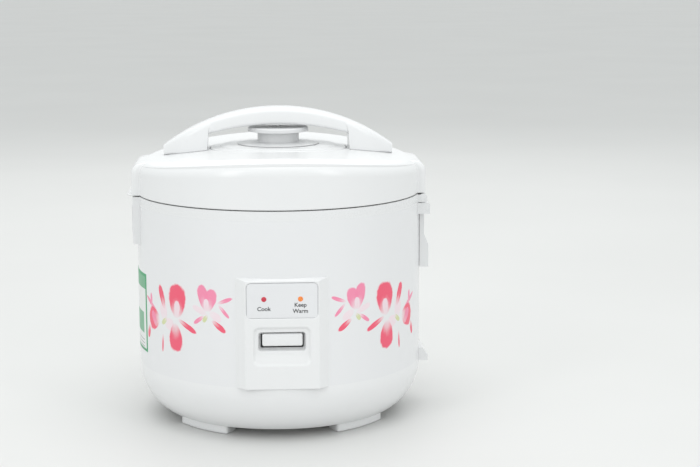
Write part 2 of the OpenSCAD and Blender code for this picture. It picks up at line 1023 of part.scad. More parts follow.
module lens_hole(x, r) {
    bar_y(r, x, lamp_z, face_y - past, panel_back + past);
}

module indicator_window() {
    color([0.93, 0.93, 0.94])
        difference() {
            intersection() {
                window_pocket(window_half - set_gap, window_h - set_gap, window_deep);
                block([-window_half, face_y + window_deep - window_t, window_z],
                    [window_half, face_y + window_deep, window_z + window_h]);
            }
            for (side = [-1, 1])
                lens_hole(side * lamp_pitch / 2, lens_r + pin_play);
        }
}

module lens(x) {
    bar_y(lens_r, x, lamp_z, face_y + 0.1, lens_back);
    bar_y(lens_r + 1, x, lamp_z, panel_back, lens_back);
}

module cook_lens() {
    color("crimson")
        lens(-lamp_pitch / 2);
}

module warm_lens() {
    color("orange")
        lens(lamp_pitch / 2);
}

module lamp_board() {
    color("darkgreen")
        block([-back_half + 1, board_y, window_z], [back_half - 1, board_y + 1.6, window_z + window_h - 3]);
}

module indicator_lamps() {
    color("khaki")
        for (side = [-1, 1])
            bar_y(lens_r - 0.4, side * lamp_pitch / 2, lamp_z, lens_back + 0.2, board_y);
}

// ---- power inlet ----

module power_inlet() {
    low_x = inlet_face - inlet_deep;
    color([0.16, 0.16, 0.17])
        difference() {
            block([low_x, -inlet_half, inlet_z], [inlet_face, inlet_half, inlet_z + inlet_h]);
            block([low_x + 4, -inlet_half + inlet_t, inlet_z + inlet_t],
                [inlet_face + past, inlet_half - inlet_t, inlet_z + inlet_h - inlet_t]);
            for (side = [-1, 1])
                blade(side * blade_pitch, -past, 0);
        }
}

// flat contact blade: at a place across the socket, with its back end and its play
module blade(y, back, play) {
    low_x = inlet_face - inlet_deep;
    block([low_x - 4 + back, y - 2 - play, inlet_z + inlet_h / 2 - 0.8 - play],
        [inlet_face - 4, y + 2 + play, inlet_z + inlet_h / 2 + 0.8 + play]);
}

module inlet_blades() {
    color("gold")
        for (side = [-1, 1])
            blade(side * blade_pitch, 0, 0);
}

module inlet_hood() {
    color("white")
        difference() {
            slab_y(hood_half)
                polygon([
                    [body_r - 8, hood_z],
                    [reach_x, hood_z],
                    [reach_x, hood_z + 4.5],
                    [body_r + 1.5, hood_z + hood_h],
                    [body_r - 8, hood_z + hood_h]]);
            body_column(body_r);
            for (side = [-1, 1])
                block([body_r + 2, side * 13 - 1.5, hood_z + 2], [reach_x + past, side * 13 + 1.5, hood_z + hood_h]);
        }
}

module side_label() {
    label_t = 0.2;
    color("seagreen")
        translate([0, 0, recess_z - 5])
            rotate([0, 0, 202.5 - label_angle])
                rotate_extrude(angle = label_angle)
                    translate([body_r, 0])
                        square([label_t, label_h]);
}

// ---- lid ----

// the lid's arched top and round side, drawn inward from its outside by inset
module lid_form(inset, low) {
    intersection() {
        disc(body_r - inset, low, lid_top + past);
        bar_y(arch_r - inset, 0, arch_z, -body_r - past, body_r + past, $fn = arch_fn);
    }
}

// outline of one of the lid's end blocks, drawn inward by inset
module ear_section(inset, low) {
    start = body_r - 20;
    round = ear_round - inset;
    top = lid_z + ear_h - inset;
    out = ear_x - inset;
    translate([start, low])
        square([out - round - start, top - low]);
    translate([start, low])
        square([out - start, top - round - low]);
    translate([out - round, top - round])
        circle(r = round);
}

module lid_hollow(inset, low) {
    lid_form(inset, low);
    for (side = [0, 1])
        mirror([side, 0, 0])
            slab_y(block_half - inset)
                ear_section(inset, low);
}

module lid_cover() {
    color("white")
        difference() {
            union() {
                difference() {
                    lid_hollow(0, lid_z);
                    lid_hollow(wall, lid_z - past);
                }
                // lip over the latch button
                block([-reach_x, -block_half + 0.6, lid_z], [-body_r + 1, block_half - 0.6, lid_z + 1]);
                // hinge knuckles and the webs that carry them
                for (side = [-1, 1]) {
                    y0 = min(side * spring_half, side * (knuckle_mid - move_gap));
                    y1 = max(side * spring_half, side * (knuckle_mid - move_gap));
                    bar_y(knuckle_r, hinge_x, hinge_z, y0, y1);
                    block([hinge_x - 2.1, y0, hinge_z], [ear_x - 0.2, y1, lid_z + 6]);
                }
            }
            bar_y(bore_r, hinge_x, hinge_z, -block_half, block_half);
            disc(insert_r + set_gap, lid_z, lid_top + past);
            for (side = [-1, 1])
                translate([side * handle_screw_x, 0, lid_z])
                    cylinder(r = screw_r + 0.2, h = lid_h);
        }
}

// outline of the handle in X and Z
module handle_section() {
    difference() {
        intersection() {
            translate([0, handle_top - handle_r])
                circle(r = handle_r, $fn = arch_fn);
            translate([-handle_reach, lid_z])
                square([2 * handle_reach, lid_h + handle_rise]);
        }
        intersection() {
            translate([0, handle_low - roof_r])
                circle(r = roof_r, $fn = arch_fn);
            translate([-grip_half, lid_z])
                square([2 * grip_half, lid_h + handle_rise]);
        }
    }
}

module carry_handle() {
    color("white")
        difference() {
            slab_y(handle_half)
                handle_section();
            bar_y(arch_r, 0, arch_z, -body_r, body_r, $fn = arch_fn);
            for (side = [-1, 1])
                translate([side * handle_screw_x, 0, lid_z])
                    cylinder(r = screw_r + pin_play, h = lid_h + handle_bite + 1);
        }
}

// height of the underside of the lid's top at a distance from the middle
function lid_under(x) = arch_z + sqrt(pow(arch_r - wall, 2) - pow(x, 2));

module handle_screws() {
    head_top = lid_under(handle_screw_x + head_r);
    color("silver")
        for (side = [-1, 1])
            translate([side * handle_screw_x, 0, 0]) {
                disc(screw_r, head_top - eps, lid_top + handle_bite);
                disc(head_r, head_top - 2.2, head_top);
            }
}

module vent_insert() {
    color("whitesmoke")
        ring(insert_r, vent_neck_r + set_gap, lid_top - wall, insert_z);
}

module steam_vent_cap() {
    slots = 10;
    color("silver")
        difference() {
            rotate_extrude()
                polygon([
                    [tube_r + set_gap, lid_top - 12],
                    [vent_neck_r, lid_top - 12],
                    [vent_neck_r, insert_z],
                    [vent_flange_r - 1, insert_z],
                    [vent_flange_r, insert_z + 0.5],
                    [vent_neck_r, vent_z + 1],
                    [vent_neck_r, vent_top - vent_cap_h - 1.5],
                    [vent_cap_r, vent_top - vent_cap_h],
                    [vent_cap_r, vent_top - 1],
                    [vent_cap_r - 1, vent_top],
                    [0, vent_top],
                    [0, vent_top - vent_cap_h],
                    [tube_r + set_gap, vent_top - vent_cap_h]]);
            // steam slots in the top
            for (i = [0 : slots - 1])
                rotate([0, 0, i * 360 / slots])
                    block([4, -0.8, vent_top - vent_cap_h - past], [9.5, 0.8, vent_top + past]);
        }
}

module vent_tube() {
    color("lightgray")
        ring(tube_r, tube_in, tray_z + tray_t, vent_top - vent_cap_h - 2);
}

module lid_tray() {
    color("gainsboro")
        difference() {
            disc(tray_r, tray_z, tray_z + tray_t);
            disc(tube_in, tray_z - past, lid_top);
            // room for the hook at the latch
            block([-body_r - past, -hook_half - 2, tray_z - past],
                [-catch_x + 4.6, hook_half + 2, tray_z + tray_t + past]);
            // room for the hinge webs
            block([hinge_x - 3, -knuckle_mid - past, tray_z - past],
                [body_r + past, knuckle_mid + past, tray_z + tray_t + past]);
        }
}

module inner_lid() {
    holes = 8;
    color("silver")
        difference() {
            disc(inner_lid_r, inner_lid_z, inner_lid_z + inner_lid_t);
            translate([0, 0, inner_lid_z - past])
                cylinder(r = 5, h = 4);
            for (i = [0 : holes - 1])
                rotate([0, 0, i * 360 / holes])
                    translate([14, 0, inner_lid_z - past])
                        cylinder(r = 2, h = 4);
        }
}

module lid_seal() {
    color([0.85, 0.86, 0.86])
        rotate_extrude()
            polygon([
                [inner_lid_r, inner_lid_z - 0.6],
                [rim_r - 5, inner_lid_z - 0.6],
                [rim_r - 3, seal_z],
                [rim_r - 1, seal_z],
                [rim_r - 1.5, tray_z],
                [inner_lid_r - 1, tray_z],
                [inner_lid_r - 1, inner_lid_z + inner_lid_t],
                [inner_lid_r, inner_lid_z + inner_lid_t]]);
}

module inner_lid_grommet() {
    color("gray")
        rotate_extrude()
            polygon([
                [0, inner_lid_z - 2],
                [6, inner_lid_z - 2],
                [7.5, inner_lid_z],
                [5, inner_lid_z],
                [5, inner_lid_z + inner_lid_t],
                [7.5, inner_lid_z + inner_lid_t],
                [7.5, tray_z],
                [0, tray_z]]);
}

module lid_catch() {
    back_x = catch_x - 4.6;
    color("silver")
        mirror([1, 0, 0])
            union() {
                block([back_x - 8, -hook_half, tray_z + tray_t], [back_x + 2.4, hook_half, tray_z + tray_t + 2]);
                block([back_x, -hook_half, tray_z - 0.3], [back_x + 2.4, hook_half, tray_z + tray_t + 2]);
                block([back_x, -hook_half, tray_z - 0.3], [catch_x, hook_half, tray_z + 0.7]);
            }
}

base_ring();
bottom_plate();
base_screws();
body_shell();
upper_frame();
inner_case();
inner_pot();
heater_plate();
heating_element();
side_heater();
limiter_housing();
sensor_cap();
sensor_spring();
limiter_magnet();
cook_lever();
cook_paddle();
lever_bracket();
lever_pin();
microswitch();
switch_post();
keep_warm_thermostat();
thermal_fuse();
lead_wires();
control_panel();
indicator_window();
cook_lens();
warm_lens();
lamp_board();
indicator_lamps();
power_inlet();
inlet_blades();
inlet_hood();
side_label();
latch_frame();
latch_button();
latch_pin();
latch_spring();
hinge_cover();
hinge_pin();
hinge_spring();
dew_collector();
lid_cover();
lid_tray();
inner_lid();
lid_seal();
inner_lid_grommet();
lid_catch();
vent_tube();
vent_insert();
steam_vent_cap();
carry_handle();
handle_screws();
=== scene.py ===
import math

import bmesh
import bpy
import numpy as np
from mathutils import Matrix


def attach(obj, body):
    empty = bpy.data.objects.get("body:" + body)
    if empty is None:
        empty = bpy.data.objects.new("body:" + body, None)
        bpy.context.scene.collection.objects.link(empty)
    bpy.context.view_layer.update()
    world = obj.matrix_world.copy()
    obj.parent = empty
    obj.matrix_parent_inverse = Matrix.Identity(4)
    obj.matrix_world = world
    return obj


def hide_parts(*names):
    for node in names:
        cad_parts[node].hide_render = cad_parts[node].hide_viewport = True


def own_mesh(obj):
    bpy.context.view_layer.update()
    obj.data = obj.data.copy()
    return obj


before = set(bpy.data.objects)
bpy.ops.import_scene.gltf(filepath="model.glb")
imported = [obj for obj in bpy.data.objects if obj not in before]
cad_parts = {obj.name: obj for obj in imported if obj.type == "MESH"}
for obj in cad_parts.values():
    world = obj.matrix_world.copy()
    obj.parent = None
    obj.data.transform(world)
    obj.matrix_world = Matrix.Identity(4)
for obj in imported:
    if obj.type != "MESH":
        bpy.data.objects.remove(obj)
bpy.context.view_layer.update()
scene = bpy.context.scene
print("frame loaded:", len(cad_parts), "nodes")

# camera
cameraSet = {"place": (-0.0214, -1.3625, 0.3835), "turn": (80.32, 0.1, -3.47), "lens": 82.95}
cameraData = bpy.data.cameras.new("viewCamera")
cameraData.sensor_width = 36
cameraData.lens = cameraSet["lens"]
cameraData.clip_start = 0.02
cameraData.clip_end = 30
camera = bpy.data.objects.new("viewCamera", cameraData)
scene.collection.objects.link(camera)
camera.location = cameraSet["place"]
camera.rotation_euler = [math.radians(a) for a in cameraSet["turn"]]
scene.camera = camera
scene.view_settings.view_transform = "Standard"
print("camera set")


# mesh makers, in millimetres

# quads of a grid of rows by columns: each cell joins its four corners, and a closed way wraps to the start
def gridFaces(rows, cols, closeRows=False, closeCols=False):
    r = np.arange(rows if closeRows else rows - 1)
    c = np.arange(cols if closeCols else cols - 1)
    r, c = np.meshgrid(r, c, indexing="ij")
    r1 = (r + 1) % rows
    c1 = (c + 1) % cols
    return np.stack([r * cols + c, r1 * cols + c, r1 * cols + c1, r * cols + c1], -1).reshape(-1, 4)


# mesh object from points in millimetres: doubles are merged, so that poles and seams close, and faces point
# outwards
def putPiece(name, points, faces, body, sharp=35, merge=1e-6):
    mesh = bpy.data.meshes.new(name)
    points = np.asarray(points, float).reshape(-1, 3) / 1000
    mesh.from_pydata(points.tolist(), [], [f.tolist() for f in faces])
    work = bmesh.new()
    work.from_mesh(mesh)
    bmesh.ops.remove_doubles(work, verts=work.verts, dist=merge)
    bmesh.ops.dissolve_degenerate(work, edges=work.edges, dist=merge)
    bmesh.ops.recalc_face_normals(work, faces=work.faces)
    work.to_mesh(mesh)
    work.free()
    mesh.shade_smooth()
    mesh.set_sharp_from_angle(angle=math.radians(sharp))
    piece = bpy.data.objects.new(name, mesh)
    scene.collection.objects.link(piece)
    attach(piece, body)
    return piece


# outline with soft corners: each corner (a, b, radius) becomes a curve whose ends lie a radius before and
# after it
def softOutline(corners, steps=6):
    c = np.array(corners, float)
    p, r = c[:, :2], c[:, 2:3]
    before, after = np.roll(p, 1, 0) - p, np.roll(p, -1, 0) - p
    before /= np.maximum(np.linalg.norm(before, axis=1, keepdims=True), 1e-9)
    after /= np.maximum(np.linalg.norm(after, axis=1, keepdims=True), 1e-9)
    t = np.linspace(0, 1, steps)[None, :, None]
    start, end = (p + before * r)[:, None], (p + after * r)[:, None]
    return ((1 - t) ** 2 * start + 2 * t * (1 - t) * p[:, None] + t ** 2 * end).reshape(-1, 2)


# box with round edges: a sphere of the edge's radius is cut into eight and moved out to the corners
def softBox(name, low, high, edge, body, steps=5, **more):
    low, high = np.array(low, float), np.array(high, float)
    middle, half = (low + high) / 2, (high - low) / 2 - edge
    q = np.linspace(0, 90, steps)
    lon = np.radians(np.concatenate([q, q + 90, q + 180, q + 270]))
    lonSide = np.repeat([[1, 1], [-1, 1], [-1, -1], [1, -1]], steps, 0)
    lat = np.radians(np.concatenate([q - 90, q]))
    latSide = np.repeat([-1, 1], steps)
    circle = np.stack([np.cos(lon), np.sin(lon)], -1)[None]
    ring = circle * np.cos(lat)[:, None, None] * edge + lonSide[None] * half[:2]
    z = (np.sin(lat) * edge + latSide * half[2])[:, None] + 0 * lon[None]
    points = np.concatenate([ring, z[..., None]], -1)
    lowPole, highPole = (np.tile([[[0, 0, end * (half[2] + edge)]]], (1, len(lon), 1)) for end in (-1, 1))
    points = np.concatenate([lowPole, points, highPole]) + middle
    return putPiece(name, points, gridFaces(len(lat) + 2, len(lon), False, True), body, **more)


# outline in X and Z carried along Y, its two ends drawn in by the edge along a quarter circle and closed to a
# point
def softBar(name, outline, y0, y1, edge, body, steps=4, **more):
    o = np.asarray(outline, float)
    ahead, behind = np.roll(o, -1, 0) - o, o - np.roll(o, 1, 0)
    way = ahead / np.maximum(np.linalg.norm(ahead, axis=1, keepdims=True), 1e-9)
    way += behind / np.maximum(np.linalg.norm(behind, axis=1, keepdims=True), 1e-9)
    way /= np.maximum(np.linalg.norm(way, axis=1, keepdims=True), 1e-9)
    area = np.sum(o[:, 0] * np.roll(o[:, 1], -1) - np.roll(o[:, 0], -1) * o[:, 1])
    outward = np.stack([way[:, 1], -way[:, 0]], -1) * np.sign(area)
    q = np.radians(np.linspace(0, 90, steps))
    inset = np.concatenate([edge * (1 - np.sin(q)), edge * (1 - np.cos(q))])
    y = np.concatenate([y0 + edge * (1 - np.cos(q)), y1 - edge * (1 - np.sin(q))])
    ring = o[None] - outward[None] * inset[:, None, None]
    points = np.stack([ring[..., 0], y[:, None] + 0 * ring[..., 0], ring[..., 1]], -1)
    first, last = points[:1].mean(1, keepdims=True), points[-1:].mean(1, keepdims=True)
    points = np.concatenate([first + 0 * points[:1], points, last + 0 * points[:1]])
    return putPiece(name, points, gridFaces(len(points), len(o), False, True), body, **more)


# thick sheet on a grid: the front and the back share one mask of kept cells, and every open edge gets a
# wall
def thickSheet(name, front, back, keep, body, **more):
    rows, cols = front.shape[:2]
    n = rows * cols
    cells = gridFaces(rows, cols)[keep.ravel()]
    edges = np.concatenate([cells[:, [0, 1]], cells[:, [1, 2]], cells[:, [2, 3]], cells[:, [3, 0]]])
    key = np.sort(edges, 1)
    code = key[:, 0] * n + key[:, 1]
    _, which, count = np.unique(code, return_inverse=True, return_counts=True)
    rim = edges[count[which] == 1]
    walls = np.stack([rim[:, 1], rim[:, 0], rim[:, 0] + n, rim[:, 1] + n], -1)
    faces = np.concatenate([cells, cells[:, ::-1] + n, walls])
    points = np.concatenate([front.reshape(-1, 3), back.reshape(-1, 3)])
    used, index = np.unique(faces, return_inverse=True)
    return putPiece(name, points[used], index.reshape(-1, 4), body, **more)


# 0 to 1 between two values, with a soft start and end
def ease(value, low, high):
    t = np.clip((value - low) / (high - low), 0, 1)
    return t * t * (3 - 2 * t)


# larger of two values, rounded where they meet
def softMost(a, b, width):
    return (a + b + np.sqrt((a - b) ** 2 + width ** 2)) / 2


# distance outside a rectangle with round corners, negative inside it
def roundedGap(x, z, x0, x1, z0, z1, radius):
    dx = np.abs(x - (x0 + x1) / 2) - (x1 - x0) / 2 + radius
    dz = np.abs(z - (z0 + z1) / 2) - (z1 - z0) / 2 + radius
    outside = np.hypot(np.maximum(dx, 0), np.maximum(dz, 0))
    return outside + np.minimum(np.maximum(dx, dz), 0) - radius


# shader maths

# one value in a material, so that a sum or product written on it adds the nodes it needs
class Wire:
    def __init__(self, mat, socket):
        self.mat, self.socket = mat, socket

    def maths(self, kind, *others):
        return self.mat.make("ShaderNodeMath", {"operation": kind}, [self, *others])

    def __add__(self, other):
        return self.maths("ADD", other)

    def __sub__(self, other):
        return self.maths("SUBTRACT", other)

    def __mul__(self, other):
        return self.maths("MULTIPLY", other)

    def __truediv__(self, other):
        return self.maths("DIVIDE", other)

    def __rsub__(self, other):
        return self.mat.make("ShaderNodeMath", {"operation": "SUBTRACT"}, [other, self])

    def __rtruediv__(self, other):
        return self.mat.make("ShaderNodeMath", {"operation": "DIVIDE"}, [other, self])

    __radd__ = __add__
    __rmul__ = __mul__

    # 0 to 1 between two values, with a soft start and end
    def step(self, low, high):
        settings = {"interpolation_type": "SMOOTHSTEP"}
        return self.mat.make("ShaderNodeMapRange", settings, [self, low, high, 0, 1])


# one material: nodes come from make(), and shade() fills the shader
class Finish:
    def __init__(self, name):
        self.material = bpy.data.materials.new(name)
        self.material.use_nodes = True
        self.tree = self.material.node_tree
        self.tree.nodes.clear()
        self.shader = self.tree.nodes.new("ShaderNodeBsdfPrincipled")
        output = self.tree.nodes.new("ShaderNodeOutputMaterial")
        self.tree.links.new(self.shader.outputs[0], output.inputs[0])

    # a node of any type: its settings first, then the values or links of its sockets
    def make(self, kind, settings=None, inputs=(), out=0):
        node = self.tree.nodes.new(kind)
        for name, value in (settings or {}).items():
            if name == "stops":
                ramp = node.color_ramp.elements
                while len(ramp) < len(value):
                    ramp.new(0.5)
                for stop, (place, colour) in zip(ramp, value):
                    stop.position = place
                    stop.color = (*colour, 1)
            else:
                setattr(node, name, value)
        pairs = inputs.items() if isinstance(inputs, dict) else enumerate(inputs)
        for key, value in pairs:
            self.fill(node.inputs[key], value)
        return Wire(self, node.outputs[out])

    def fill(self, socket, value):
        if isinstance(value, Wire):
            self.tree.links.new(value.socket, socket)
        elif hasattr(value, "__len__") and socket.type == "RGBA" and len(value) == 3:
            socket.default_value = (*value, 1)
        else:
            socket.default_value = value

    # the piece's own coordinates, and its three parts in millimetres
    def place(self):
        return self.make("ShaderNodeTexCoord", out="Object")

    def parts(self, scale=1000):
        split = self.make("ShaderNodeSeparateXYZ", inputs=[self.place()])
        node = split.socket.node
        return [Wire(self, node.outputs[i]) * scale for i in range(3)]

    def noise(self, scale, detail=3, vector=None, rough=0.5, stretch=None):
        vector = vector or self.place()
        if stretch:
            vector = self.make("ShaderNodeVectorMath", {"operation": "MULTIPLY"}, [vector, stretch])
        inputs = {"Vector": vector, "Scale": scale, "Detail": detail, "Roughness": rough}
        return self.make("ShaderNodeTexNoise", inputs=inputs)

    def cells(self, scale, vector=None, feature="F1", out="Distance"):
        inputs = {"Vector": vector or self.place(), "Scale": scale}
        return self.make("ShaderNodeTexVoronoi", {"feature": feature}, inputs, out)

    def mix(self, share, first, second):
        return self.make("ShaderNodeMix", {"data_type": "RGBA"}, {0: share, 6: first, 7: second}, 2)

    # fills the shader: height is (values, strength, depth in metres), and the rest are its sockets by name
    def shade(self, height=None, **sockets):
        for name, value in sockets.items():
            self.fill(self.shader.inputs[name.replace("_", " ")], value)
        if height:
            inputs = dict(zip(("Height", "Strength", "Distance"), height))
            self.fill(self.shader.inputs["Normal"], self.make("ShaderNodeBump", inputs=inputs))
        return self.material


# colour a share brighter or darker
def toned(colour, share):
    return tuple(min(1, c * share) for c in colour)


# moulded plastic: tone = colour x (1 +- drift) by slow noise, dulled a little in fine hairlines; the gloss
# and the surface carry fine moulding grain
def mouldedPlastic(name, colour, gloss, grain=0.03, drift=0.012, scale=900):
    f = Finish(name)
    cloud = f.noise(9, 2)
    fine = f.noise(scale, 4, rough=0.6)
    hair = f.noise(420, 5, stretch=(0.12, 1, 1)).step(0.66, 0.72)
    base = f.mix(cloud, toned(colour, 1 - drift), toned(colour, 1 + drift))
    base = f.mix(hair * 0.03, base, toned(colour, 0.8))
    rough = gloss + (fine - 0.5) * 0.06 + hair * 0.04 + (cloud - 0.5) * 0.04
    return f.shade((fine * 0.7 + cloud * 0.3, grain, 0.0004), Base_Color=base, Roughness=rough, IOR=1.5)


# sheet metal: brushed lines along one axis, cloudy tarnish and fine pits
def sheetMetal(name, colour, gloss, along=(1, 30, 30), scale=60, tarnish=0.12, metal=1.0):
    f = Finish(name)
    lines = f.noise(scale, 6, rough=0.7, stretch=along)
    cloud = f.noise(22, 4)
    pits = f.cells(700).step(0.0, 0.22)
    base = f.mix(lines * 0.5 + cloud * 0.5, toned(colour, 1 - tarnish), toned(colour, 1 + tarnish))
    base = f.mix((1 - pits) * 0.3, base, toned(colour, 0.6))
    rough = gloss + (lines - 0.5) * 0.22 + (cloud - 0.5) * 0.12
    return f.shade((lines + pits * 0.3, 0.12, 0.0003), Base_Color=base, Roughness=rough, Metallic=metal)


# turned or spun metal: fine rings about Z, with the tool's drift and a cloudy stain
def spunMetal(name, colour, gloss, pitch=0.9, tarnish=0.1):
    f = Finish(name)
    x, y, z = f.parts()
    radius = (x * x + y * y).maths("SQRT")
    wobble = f.noise(30, 3)
    rings = ((radius + wobble * 0.8) * (6.2832 / pitch)).maths("SINE") * 0.5 + 0.5
    cloud = f.noise(26, 5)
    base = f.mix(rings * 0.4 + cloud * 0.6, toned(colour, 1 - tarnish), toned(colour, 1 + tarnish))
    rough = gloss + (rings - 0.5) * 0.10 + (cloud - 0.5) * 0.14
    return f.shade((rings, 0.10, 0.0002), Base_Color=base, Roughness=rough, Metallic=1.0)


# rubber, ceramic and fibre parts: matt, with grain and worn light patches
def mattPart(name, colour, gloss=0.6, scale=500, grain=0.15, drift=0.12):
    f = Finish(name)
    fine = f.noise(scale, 5, rough=0.65)
    cloud = f.noise(35, 4)
    base = f.mix(fine * 0.4 + cloud * 0.6, toned(colour, 1 - drift), toned(colour, 1 + drift))
    return f.shade((fine, grain, 0.0004), Base_Color=base, Roughness=gloss + (fine - 0.5) * 0.2)


# lid

lidSet = {"radius": 119.98, "bottom": 189.7, "top": 228.5, "arch": 575, "wall": 2.4, "hole": 58.15,
    "frontIn": 18, "sideIn": 11, "frontDown": 12, "sideDown": 10, "blockOut": 122.8, "blockHalf": 31.6,
    "blockTop": 216.6, "blockRound": 9, "lip": 126.2, "lipTop": 190.8}


# height of the lid's top: a circle's arch across X, the same along Y
def lidTop(x):
    return lidSet["top"] - lidSet["arch"] + np.sqrt(lidSet["arch"] ** 2 - x ** 2)


# closed shell around the vent's hole: for each angle, out along the arch, over a soft edge, down the side,
# which swells into the two end blocks, in under the rim and back under the top. A block's outline is
# (|cos / out|^26 + |sin / half|^26)^(-1/26)
def makeLid():
    s = lidSet
    steep = np.radians(np.linspace(13.2, 16.4, 26))
    even = np.linspace(0, 2 * np.pi, 288, endpoint=False)
    a = np.concatenate([even, steep, -steep, steep + np.pi, np.pi - steep])
    a = np.unique(np.round(a % (2 * np.pi), 5))[:, None]
    cos, sin = np.cos(a), np.sin(a)
    edge = s["frontIn"] + (s["sideIn"] - s["frontIn"]) * cos ** 2
    down = s["frontDown"] + (s["sideDown"] - s["frontDown"]) * cos ** 2
    rimTop = lidTop(s["radius"] * cos)
    t = np.linspace(0, 1, 22)[None]
    r1 = s["hole"] + (s["radius"] - edge - s["hole"]) * t
    z1 = lidTop(r1 * cos)
    t = np.linspace(0, 1, 12)[None, 1:]
    z0 = lidTop((s["radius"] - edge) * cos)
    r2 = (1 - t) ** 2 * (s["radius"] - edge) + (1 - (1 - t) ** 2) * s["radius"]
    z2 = (1 - t) ** 2 * z0 + 2 * t * (1 - t) * rimTop + t ** 2 * (rimTop - down)
    low = s["lipTop"] + 0.1
    t = np.linspace(0, 1, 22)[None, 1:]
    z3 = (rimTop - down) * (1 - t) + low * t
    z3 = np.concatenate([z3, low - 0.14 + 0 * z3[:, :1]], 1)
    q = np.radians(np.linspace(0, 90, 5))[None]
    z4 = s["bottom"] + 0.8 * (1 - np.sin(q)) + 0 * a
    z34 = np.concatenate([z2, z3, z4[:, :1] + 0.1, z4], 1)
    under = s["radius"] - 0.8 * (1 - np.cos(q)) + 0 * a
    round0 = np.concatenate([r2, s["radius"] + 0 * z3, s["radius"] + 0 * a, under], 1)
    rise = np.clip(z34 - s["blockTop"] + s["blockRound"], 0, s["blockRound"] - 0.01)
    out = s["blockOut"] - s["blockRound"] + np.sqrt(s["blockRound"] ** 2 - rise ** 2)
    out = np.where(z34 > s["blockTop"], 60, out)
    lip = (cos < 0) & (z34 < s["lipTop"])
    out = np.where(lip, s["lip"] - (s["radius"] - round0), out)
    half = s["blockHalf"] - (s["radius"] - np.minimum(round0, s["radius"])) * (z34 < s["bottom"] + 2)
    block = ((np.abs(cos) / out) ** 26 + (np.abs(sin) / half) ** 26) ** (-1 / 26)
    side = softMost(round0, block, 0.5)
    side = np.where(z34 > s["blockTop"], round0, side)
    inner = s["radius"] - s["wall"]
    z5 = np.linspace(0, 1, 6)[None] * (lidTop(inner * cos) - s["wall"] - s["bottom"]) + s["bottom"]
    r6 = np.linspace(inner, s["hole"], 14)[None, 1:] + 0 * a
    r = np.concatenate([r1, side, inner + 0 * z5, r6], 1)
    z = np.concatenate([z1, z34, z5, lidTop(r6 * cos) - s["wall"]], 1)
    points = np.stack([r * cos, r * sin, z], -1)
    piece = putPiece("lid_shell", points, gridFaces(*r.shape, True, True), "lid", sharp=40)
    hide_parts("lid_cover")
    return piece


# hinge knuckle with its web: around the pin, the outline is the larger of a circle and a tall box seen from
# the pin
def makeKnuckles():
    pieces = []
    pin = (120.3, 185.4)
    a = np.linspace(0, 2 * np.pi, 96, endpoint=False)
    across = np.where(np.cos(a) > 0, 2.3, 2.1) / np.maximum(np.abs(np.cos(a)), 1e-6)
    box = np.where(np.sin(a) > 0, np.minimum(across, 9.6 / np.maximum(np.sin(a), 1e-6)), 0)
    out = softMost(3.7 + 0 * a, box, 0.2)
    for name, y0, y1 in (("hinge_knuckle_a", 8, 19), ("hinge_knuckle_b", -19, -8)):
        r = np.stack([1.55 + 0 * a, out - 0.4, out, out, out - 0.4, 1.55 + 0 * a])
        y = np.array([y0, y0, y0 + 0.4, y1 - 0.4, y1, y1])[:, None] + 0 * r
        points = np.stack([pin[0] + r * np.cos(a), y, pin[1] + r * np.sin(a)], -1)
        piece = putPiece(name, points, gridFaces(6, len(a), True, True), "lid")
        pieces.append(piece)
    return pieces


# fixed hinge shoulder beside the knuckles: a D whose back is flat on the collar and whose nose is an arc about
# the pin
def makeShoulders():
    pieces = []
    a = np.radians(np.linspace(-64, 50, 24))
    nose = np.stack([120.3 + 3.62 * np.cos(a), 185.2 + 3.62 * np.sin(a)], -1)
    outline = np.concatenate([[(112, 181.6)], nose, [(112, 188.4)]])
    for name, y0, y1 in (("hinge_shoulder_a", 19.7, 31.5), ("hinge_shoulder_b", -31.5, -19.7)):
        piece = softBar(name, outline, y0, y1, 0.7, "base", sharp=40)
        pieces.append(piece)
    return pieces


lidPieces = [makeLid()] + makeKnuckles()
shoulders = makeShoulders()
print("lid made")


# carry handle

handleSet = {"top": 260, "radius": 165, "roof": 247, "roofRadius": 220, "reach": 97, "opening": 59.5,
    "corner": 6, "half": 17.5, "edge": 4.5}


